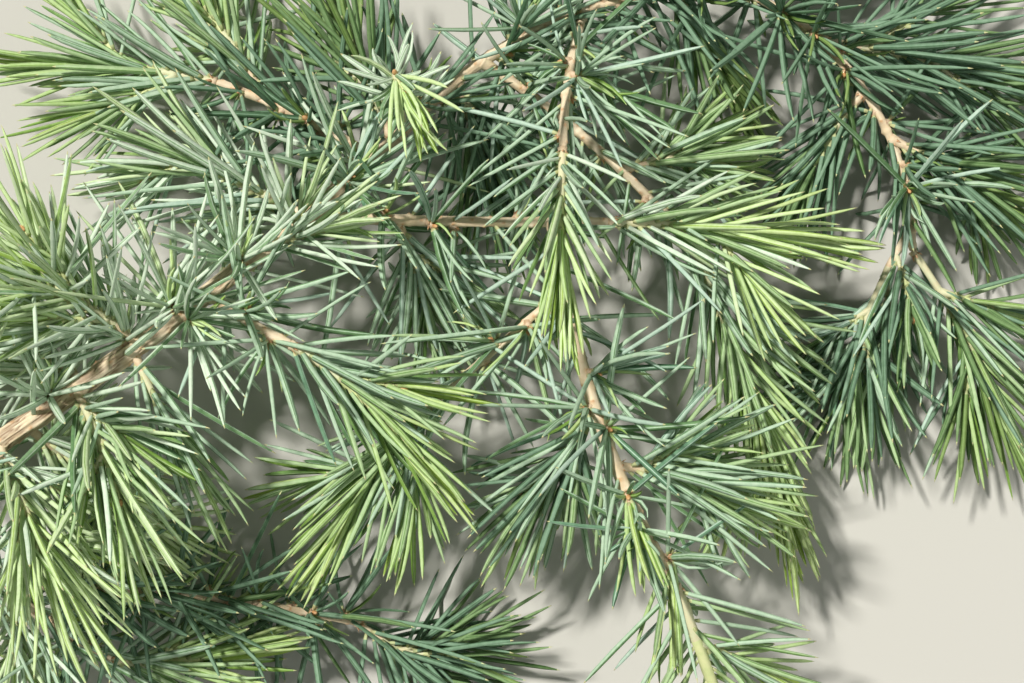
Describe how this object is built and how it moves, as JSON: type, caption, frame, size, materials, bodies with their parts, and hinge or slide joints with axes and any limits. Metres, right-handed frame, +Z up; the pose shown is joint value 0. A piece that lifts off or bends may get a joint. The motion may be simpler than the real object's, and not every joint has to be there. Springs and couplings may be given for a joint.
{
  "type": "cedar branch",
  "caption": "Cut branch of a cedar, lying down: a tapering limb that forks into boughs, with open sprays of long needles and rosettes of needles on short spurs.",
  "frame": {"origin": "centre of the bounding box in plan, on the surface that the branch lies on", "axes": "+X runs from the side of the cut end to the side of the tips, +Y is the other way in plan, and +Z is up, square to the surface that the branch lies on"},
  "size_m": [0.4089, 0.2919, 0.1212],
  "materials": {
    "bark": "rough",
    "foliage": "waxy",
    "new_foliage": "waxy"
  },
  "bodies": {
    "root": {"main_limb": "bark", "leader_limb": "bark", "hanging_limb": "bark", "across_bough": "bark", "front_bough": "bark", "inner_bough": "bark", "drop_bough": "bark", "far_bough": "bark", "back_bough": "bark", "fan_bough": "bark", "low_bough": "bark", "floor_bough": "bark", "spray_across_tip": "new_foliage", "spray_front_tip": "new_foliage", "spray_front_right": "foliage", "spray_front_left": "foliage", "spray_inner_tip": "new_foliage", "spray_drop_tip": "new_foliage", "spray_far_tip": "new_foliage", "spray_far_side": "foliage", "spray_fan_tip": "new_foliage", "spray_back_tip": "new_foliage", "spray_back_high": "foliage", "spray_back_top": "foliage", "spray_low_tip": "new_foliage", "spray_low_side": "foliage", "spray_left_high": "foliage", "spray_left_low": "foliage", "spray_upper_left": "foliage", "spray_under_left": "foliage", "spray_crotch": "foliage", "spray_fore_mid": "foliage", "spray_fore_left": "foliage", "spray_under_fork": "foliage", "spray_hanging_left": "foliage", "spray_hanging_tip": "new_foliage", "spray_right_mid": "foliage", "spray_right_top": "foliage", "spray_right_edge": "foliage", "spray_top_fan": "new_foliage", "spray_top_end": "foliage", "spray_top_shade": "foliage", "spray_upright": "foliage", "spray_floor_mid": "foliage", "spray_floor_left": "foliage", "spray_under_across": "foliage", "spur_main_1": "foliage", "spur_main_2": "foliage", "spur_main_3": "foliage", "spur_main_4": "foliage", "spur_main_5": "foliage", "spur_leader_1": "foliage", "spur_leader_2": "foliage", "spur_hanging_1": "foliage", "spur_hanging_2": "foliage", "spur_across_1": "foliage", "spur_front_1": "foliage", "spur_front_2": "foliage", "spur_drop_1": "foliage", "spur_low_1": "foliage"}
  },
  "joints": []
}
